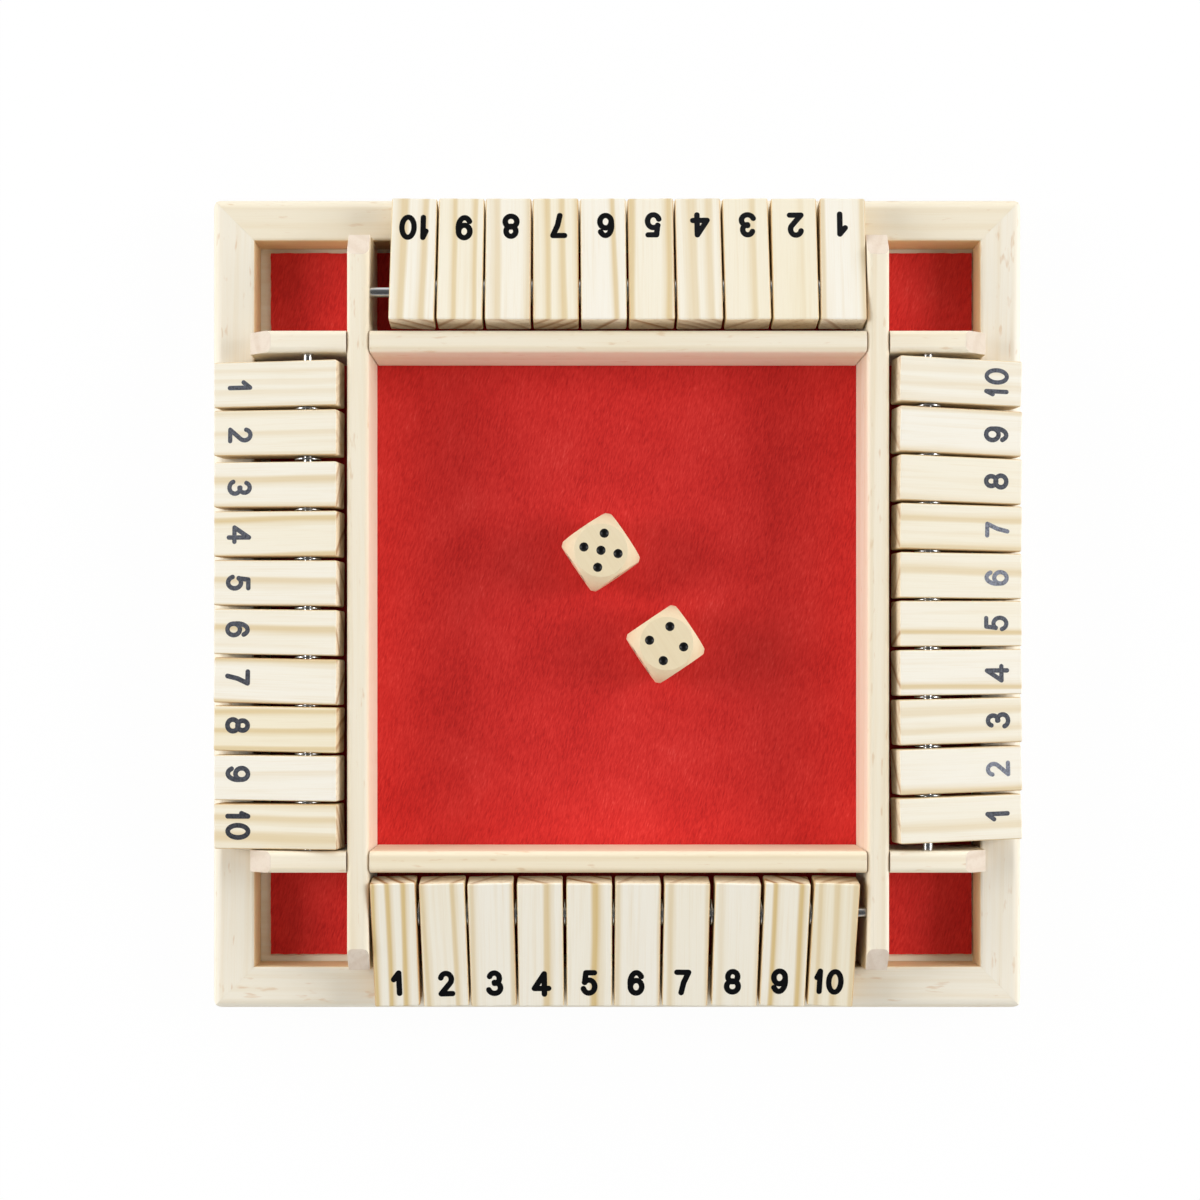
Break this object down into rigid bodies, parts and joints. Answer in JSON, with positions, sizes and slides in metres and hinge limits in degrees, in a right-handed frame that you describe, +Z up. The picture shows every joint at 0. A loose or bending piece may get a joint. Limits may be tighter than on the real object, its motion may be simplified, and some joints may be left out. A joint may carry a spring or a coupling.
{
  "type": "four-player shut the box game",
  "caption": "Square pine tray game for four: felt dice well, rows of numbered tiles that flip on steel rods, and dice.",
  "frame": {"origin": "centre of the tray's underside", "axes": "+Z up, player 1's side at -Y, +X to that player's right"},
  "size_m": [0.22, 0.22, 0.0289],
  "materials": {
    "pine": "clear matt lacquer",
    "tile_pine": "clear matt lacquer",
    "plywood": "bare",
    "felt": "napped felt",
    "steel": "drawn, bright",
    "die_wood": "clear lacquer",
    "printed_ink": "pad-printed ink"
  },
  "bodies": {
    "tray": {"base_board": "plywood", "felt_sheet": "felt", "rail_bottom": "pine", "rail_right": "pine", "rail_top": "pine", "rail_left": "pine", "long_divider_left": "pine", "long_divider_right": "pine", "well_divider_bottom": "pine", "well_divider_top": "pine", "corner_divider_bottom_left": "pine", "corner_divider_bottom_right": "pine", "corner_divider_top_left": "pine", "corner_divider_top_right": "pine", "rod_bottom": "steel", "rod_right": "steel", "rod_top": "steel", "rod_left": "steel"},
    "tile_bottom_1": {"tile_bottom_1": "tile_pine"},
    "tile_bottom_2": {"tile_bottom_2": "tile_pine"},
    "tile_bottom_3": {"tile_bottom_3": "tile_pine"},
    "tile_bottom_4": {"tile_bottom_4": "tile_pine"},
    "tile_bottom_5": {"tile_bottom_5": "tile_pine"},
    "tile_bottom_6": {"tile_bottom_6": "tile_pine"},
    "tile_bottom_7": {"tile_bottom_7": "tile_pine"},
    "tile_bottom_8": {"tile_bottom_8": "tile_pine"},
    "tile_bottom_9": {"tile_bottom_9": "tile_pine"},
    "tile_bottom_10": {"tile_bottom_10": "tile_pine"},
    "tile_right_1": {"tile_right_1": "tile_pine"},
    "tile_right_2": {"tile_right_2": "tile_pine"},
    "tile_right_3": {"tile_right_3": "tile_pine"},
    "tile_right_4": {"tile_right_4": "tile_pine"},
    "tile_right_5": {"tile_right_5": "tile_pine"},
    "tile_right_6": {"tile_right_6": "tile_pine"},
    "tile_right_7": {"tile_right_7": "tile_pine"},
    "tile_right_8": {"tile_right_8": "tile_pine"},
    "tile_right_9": {"tile_right_9": "tile_pine"},
    "tile_right_10": {"tile_right_10": "tile_pine"},
    "tile_top_1": {"tile_top_1": "tile_pine"},
    "tile_top_2": {"tile_top_2": "tile_pine"},
    "tile_top_3": {"tile_top_3": "tile_pine"},
    "tile_top_4": {"tile_top_4": "tile_pine"},
    "tile_top_5": {"tile_top_5": "tile_pine"},
    "tile_top_6": {"tile_top_6": "tile_pine"},
    "tile_top_7": {"tile_top_7": "tile_pine"},
    "tile_top_8": {"tile_top_8": "tile_pine"},
    "tile_top_9": {"tile_top_9": "tile_pine"},
    "tile_top_10": {"tile_top_10": "tile_pine"},
    "tile_left_1": {"tile_left_1": "tile_pine"},
    "tile_left_2": {"tile_left_2": "tile_pine"},
    "tile_left_3": {"tile_left_3": "tile_pine"},
    "tile_left_4": {"tile_left_4": "tile_pine"},
    "tile_left_5": {"tile_left_5": "tile_pine"},
    "tile_left_6": {"tile_left_6": "tile_pine"},
    "tile_left_7": {"tile_left_7": "tile_pine"},
    "tile_left_8": {"tile_left_8": "tile_pine"},
    "tile_left_9": {"tile_left_9": "tile_pine"},
    "tile_left_10": {"tile_left_10": "tile_pine"},
    "die_1": {"die_1": "die_wood"},
    "die_2": {"die_2": "die_wood"}
  },
  "joints": [
    {"name": "tile_bottom_1_flip", "type": "hinge", "parent": "tray", "child": "tile_bottom_1", "pos_m": [0, -0.08285, 0.0235], "axis": [-1, 0, 0], "range_deg": [0, 134]},
    {"name": "tile_bottom_2_flip", "type": "hinge", "parent": "tray", "child": "tile_bottom_2", "pos_m": [0, -0.08285, 0.0235], "axis": [-1, 0, 0], "range_deg": [0, 151]},
    {"name": "tile_bottom_3_flip", "type": "hinge", "parent": "tray", "child": "tile_bottom_3", "pos_m": [0, -0.08285, 0.0235], "axis": [-1, 0, 0], "range_deg": [0, 151]},
    {"name": "tile_bottom_4_flip", "type": "hinge", "parent": "tray", "child": "tile_bottom_4", "pos_m": [0, -0.08285, 0.0235], "axis": [-1, 0, 0], "range_deg": [0, 151]},
    {"name": "tile_bottom_5_flip", "type": "hinge", "parent": "tray", "child": "tile_bottom_5", "pos_m": [0, -0.08285, 0.0235], "axis": [-1, 0, 0], "range_deg": [0, 151]},
    {"name": "tile_bottom_6_flip", "type": "hinge", "parent": "tray", "child": "tile_bottom_6", "pos_m": [0, -0.08285, 0.0235], "axis": [-1, 0, 0], "range_deg": [0, 151]},
    {"name": "tile_bottom_7_flip", "type": "hinge", "parent": "tray", "child": "tile_bottom_7", "pos_m": [0, -0.08285, 0.0235], "axis": [-1, 0, 0], "range_deg": [0, 151]},
    {"name": "tile_bottom_8_flip", "type": "hinge", "parent": "tray", "child": "tile_bottom_8", "pos_m": [0, -0.08285, 0.0235], "axis": [-1, 0, 0], "range_deg": [0, 151]},
    {"name": "tile_bottom_9_flip", "type": "hinge", "parent": "tray", "child": "tile_bottom_9", "pos_m": [0, -0.08285, 0.0235], "axis": [-1, 0, 0], "range_deg": [0, 151]},
    {"name": "tile_bottom_10_flip", "type": "hinge", "parent": "tray", "child": "tile_bottom_10", "pos_m": [0, -0.08285, 0.0235], "axis": [-1, 0, 0], "range_deg": [0, 151]},
    {"name": "tile_right_1_flip", "type": "hinge", "parent": "tray", "child": "tile_right_1", "pos_m": [0.08285, 0, 0.0235], "axis": [0, -1, 0], "range_deg": [0, 134]},
    {"name": "tile_right_2_flip", "type": "hinge", "parent": "tray", "child": "tile_right_2", "pos_m": [0.08285, 0, 0.0235], "axis": [0, -1, 0], "range_deg": [0, 151]},
    {"name": "tile_right_3_flip", "type": "hinge", "parent": "tray", "child": "tile_right_3", "pos_m": [0.08285, 0, 0.0235], "axis": [0, -1, 0], "range_deg": [0, 151]},
    {"name": "tile_right_4_flip", "type": "hinge", "parent": "tray", "child": "tile_right_4", "pos_m": [0.08285, 0, 0.0235], "axis": [0, -1, 0], "range_deg": [0, 151]},
    {"name": "tile_right_5_flip", "type": "hinge", "parent": "tray", "child": "tile_right_5", "pos_m": [0.08285, 0, 0.0235], "axis": [0, -1, 0], "range_deg": [0, 151]},
    {"name": "tile_right_6_flip", "type": "hinge", "parent": "tray", "child": "tile_right_6", "pos_m": [0.08285, 0, 0.0235], "axis": [0, -1, 0], "range_deg": [0, 151]},
    {"name": "tile_right_7_flip", "type": "hinge", "parent": "tray", "child": "tile_right_7", "pos_m": [0.08285, 0, 0.0235], "axis": [0, -1, 0], "range_deg": [0, 151]},
    {"name": "tile_right_8_flip", "type": "hinge", "parent": "tray", "child": "tile_right_8", "pos_m": [0.08285, 0, 0.0235], "axis": [0, -1, 0], "range_deg": [0, 151]},
    {"name": "tile_right_9_flip", "type": "hinge", "parent": "tray", "child": "tile_right_9", "pos_m": [0.08285, 0, 0.0235], "axis": [0, -1, 0], "range_deg": [0, 151]},
    {"name": "tile_right_10_flip", "type": "hinge", "parent": "tray", "child": "tile_right_10", "pos_m": [0.08285, 0, 0.0235], "axis": [0, -1, 0], "range_deg": [0, 151]},
    {"name": "tile_top_1_flip", "type": "hinge", "parent": "tray", "child": "tile_top_1", "pos_m": [0, 0.08285, 0.0235], "axis": [1, 0, 0], "range_deg": [0, 134]},
    {"name": "tile_top_2_flip", "type": "hinge", "parent": "tray", "child": "tile_top_2", "pos_m": [0, 0.08285, 0.0235], "axis": [1, 0, 0], "range_deg": [0, 151]},
    {"name": "tile_top_3_flip", "type": "hinge", "parent": "tray", "child": "tile_top_3", "pos_m": [0, 0.08285, 0.0235], "axis": [1, 0, 0], "range_deg": [0, 151]},
    {"name": "tile_top_4_flip", "type": "hinge", "parent": "tray", "child": "tile_top_4", "pos_m": [0, 0.08285, 0.0235], "axis": [1, 0, 0], "range_deg": [0, 151]},
    {"name": "tile_top_5_flip", "type": "hinge", "parent": "tray", "child": "tile_top_5", "pos_m": [0, 0.08285, 0.0235], "axis": [1, 0, 0], "range_deg": [0, 151]},
    {"name": "tile_top_6_flip", "type": "hinge", "parent": "tray", "child": "tile_top_6", "pos_m": [0, 0.08285, 0.0235], "axis": [1, 0, 0], "range_deg": [0, 151]},
    {"name": "tile_top_7_flip", "type": "hinge", "parent": "tray", "child": "tile_top_7", "pos_m": [0, 0.08285, 0.0235], "axis": [1, 0, 0], "range_deg": [0, 151]},
    {"name": "tile_top_8_flip", "type": "hinge", "parent": "tray", "child": "tile_top_8", "pos_m": [0, 0.08285, 0.0235], "axis": [1, 0, 0], "range_deg": [0, 151]},
    {"name": "tile_top_9_flip", "type": "hinge", "parent": "tray", "child": "tile_top_9", "pos_m": [0, 0.08285, 0.0235], "axis": [1, 0, 0], "range_deg": [0, 151]},
    {"name": "tile_top_10_flip", "type": "hinge", "parent": "tray", "child": "tile_top_10", "pos_m": [0, 0.08285, 0.0235], "axis": [1, 0, 0], "range_deg": [0, 151]},
    {"name": "tile_left_1_flip", "type": "hinge", "parent": "tray", "child": "tile_left_1", "pos_m": [-0.08285, 0, 0.0235], "axis": [0, 1, 0], "range_deg": [0, 151]},
    {"name": "tile_left_2_flip", "type": "hinge", "parent": "tray", "child": "tile_left_2", "pos_m": [-0.08285, 0, 0.0235], "axis": [0, 1, 0], "range_deg": [0, 151]},
    {"name": "tile_left_3_flip", "type": "hinge", "parent": "tray", "child": "tile_left_3", "pos_m": [-0.08285, 0, 0.0235], "axis": [0, 1, 0], "range_deg": [0, 151]},
    {"name": "tile_left_4_flip", "type": "hinge", "parent": "tray", "child": "tile_left_4", "pos_m": [-0.08285, 0, 0.0235], "axis": [0, 1, 0], "range_deg": [0, 151]},
    {"name": "tile_left_5_flip", "type": "hinge", "parent": "tray", "child": "tile_left_5", "pos_m": [-0.08285, 0, 0.0235], "axis": [0, 1, 0], "range_deg": [0, 151]},
    {"name": "tile_left_6_flip", "type": "hinge", "parent": "tray", "child": "tile_left_6", "pos_m": [-0.08285, 0, 0.0235], "axis": [0, 1, 0], "range_deg": [0, 151]},
    {"name": "tile_left_7_flip", "type": "hinge", "parent": "tray", "child": "tile_left_7", "pos_m": [-0.08285, 0, 0.0235], "axis": [0, 1, 0], "range_deg": [0, 151]},
    {"name": "tile_left_8_flip", "type": "hinge", "parent": "tray", "child": "tile_left_8", "pos_m": [-0.08285, 0, 0.0235], "axis": [0, 1, 0], "range_deg": [0, 151]},
    {"name": "tile_left_9_flip", "type": "hinge", "parent": "tray", "child": "tile_left_9", "pos_m": [-0.08285, 0, 0.0235], "axis": [0, 1, 0], "range_deg": [0, 151]},
    {"name": "tile_left_10_flip", "type": "hinge", "parent": "tray", "child": "tile_left_10", "pos_m": [-0.08285, 0, 0.0235], "axis": [0, 1, 0], "range_deg": [0, 151]},
    {"name": "die_1_lift", "type": "slide", "parent": "tray", "child": "die_1", "axis": [0, 0, 1], "range_m": [0, 0.04]},
    {"name": "die_2_lift", "type": "slide", "parent": "tray", "child": "die_2", "axis": [0, 0, 1], "range_m": [0, 0.04]}
  ]
}
